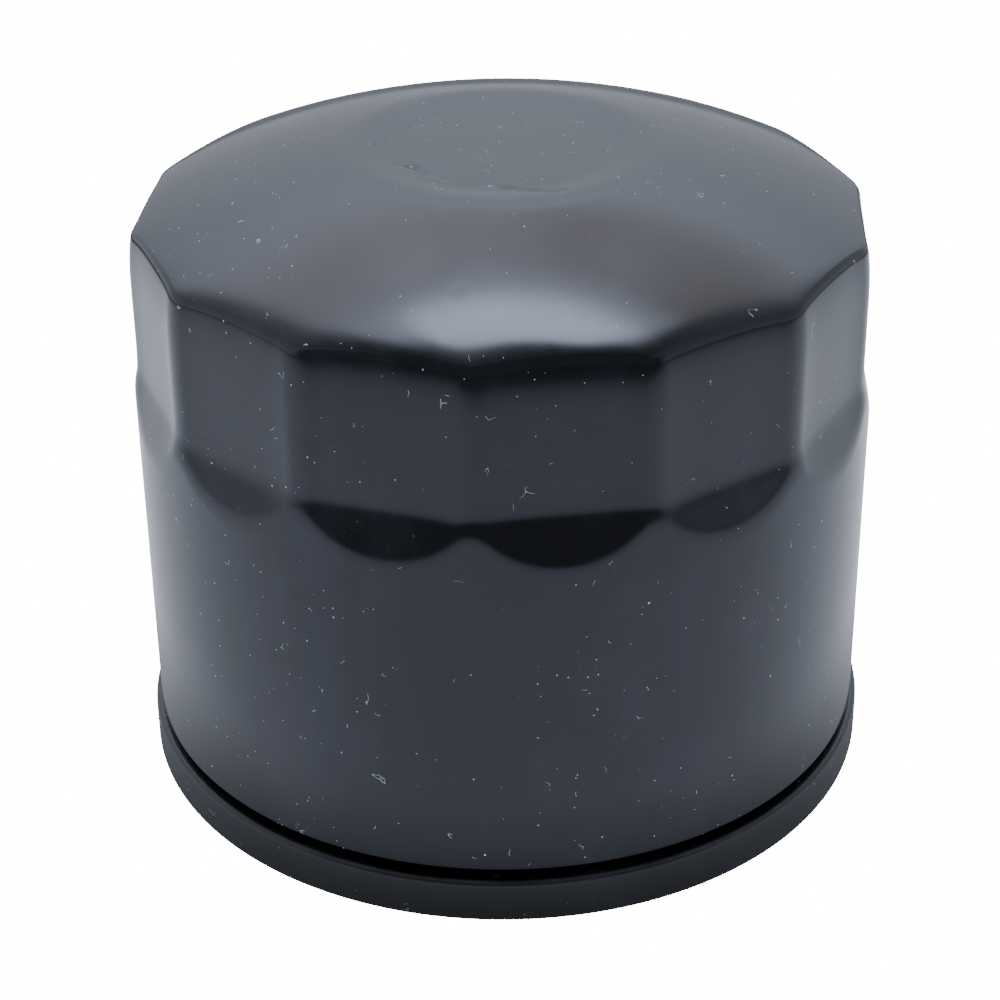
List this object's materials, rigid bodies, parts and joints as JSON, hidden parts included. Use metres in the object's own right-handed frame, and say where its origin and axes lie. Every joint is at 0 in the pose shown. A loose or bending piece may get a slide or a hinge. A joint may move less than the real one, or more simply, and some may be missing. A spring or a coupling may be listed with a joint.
{
  "type": "oil filter",
  "caption": "Spin-on oil filter for a small engine: fluted domed steel canister rolled to a lid with gasket, threaded plate, pleated element and bypass valve.",
  "frame": {"origin": "centre of the gasket's sealing face, at the bottom of the filter", "axes": "+Z along the canister's axis from the gasket face to the dome; -Y is the outward normal of one wrench flat"},
  "size_m": [0.076, 0.076, 0.0668],
  "materials": {
    "can_paint": "satin black enamel",
    "lid_paint": "dull black coating",
    "compound_rubber": "cured sealing compound",
    "gasket_rubber": "oiled black nitrile",
    "plate_steel": "zinc plated",
    "valve_rubber": "red-brown silicone",
    "lower_cap_steel": "tinplate",
    "upper_cap_steel": "tinplate",
    "lower_adhesive_resin": "cured plastisol",
    "upper_adhesive_resin": "cured plastisol",
    "tube_steel": "perforated sheet",
    "media_paper": "resin-bonded filter paper",
    "clip_steel": "bare strip",
    "seat_steel": "turned",
    "seal_rubber": "matt black nitrile",
    "plunger_steel": "stamped",
    "stem_steel": "yellow zinc plated",
    "cage_steel": "pressed sheet",
    "coil_steel": "spring wire",
    "spring_steel": "tempered strip"
  },
  "bodies": {
    "housing": {"canister": "can_paint", "seaming_lid": "lid_paint", "seam_compound": "compound_rubber", "sealing_gasket": "gasket_rubber", "base_plate": "plate_steel", "hold_down_spring": "spring_steel"},
    "element": {"lower_end_cap": "lower_cap_steel", "lower_adhesive": "lower_adhesive_resin", "center_tube": "tube_steel", "pleated_media": "media_paper", "media_seam_clip": "clip_steel", "upper_adhesive": "upper_adhesive_resin", "upper_end_cap": "upper_cap_steel", "bypass_seat": "seat_steel", "bypass_cage": "cage_steel", "bypass_spring": "coil_steel"},
    "bypass_poppet": {"bypass_plunger": "plunger_steel", "plunger_stem": "stem_steel", "bypass_seal": "seal_rubber"},
    "drain_valve": {"anti_drain_valve": "valve_rubber"}
  },
  "joints": [
    {"name": "element_lift", "type": "slide", "parent": "housing", "child": "element", "axis": [0, 0, 1], "range_m": [0, 0.0015], "stiffness_N_per_m": 6000, "springref_m": -0.004, "deforming": ["hold_down_spring"]},
    {"name": "bypass_open", "type": "slide", "parent": "element", "child": "bypass_poppet", "axis": [0, 0, -1], "range_m": [0, 0.003], "stiffness_N_per_m": 1500, "springref_m": -0.004, "deforming": ["bypass_spring"]},
    {"name": "drain_valve_flex", "type": "slide", "parent": "housing", "child": "drain_valve", "axis": [0, 0, 1], "range_m": [0, 0.001], "stiffness_N_per_m": 200, "springref_m": -0.001, "deforming": ["anti_drain_valve"]}
  ]
}
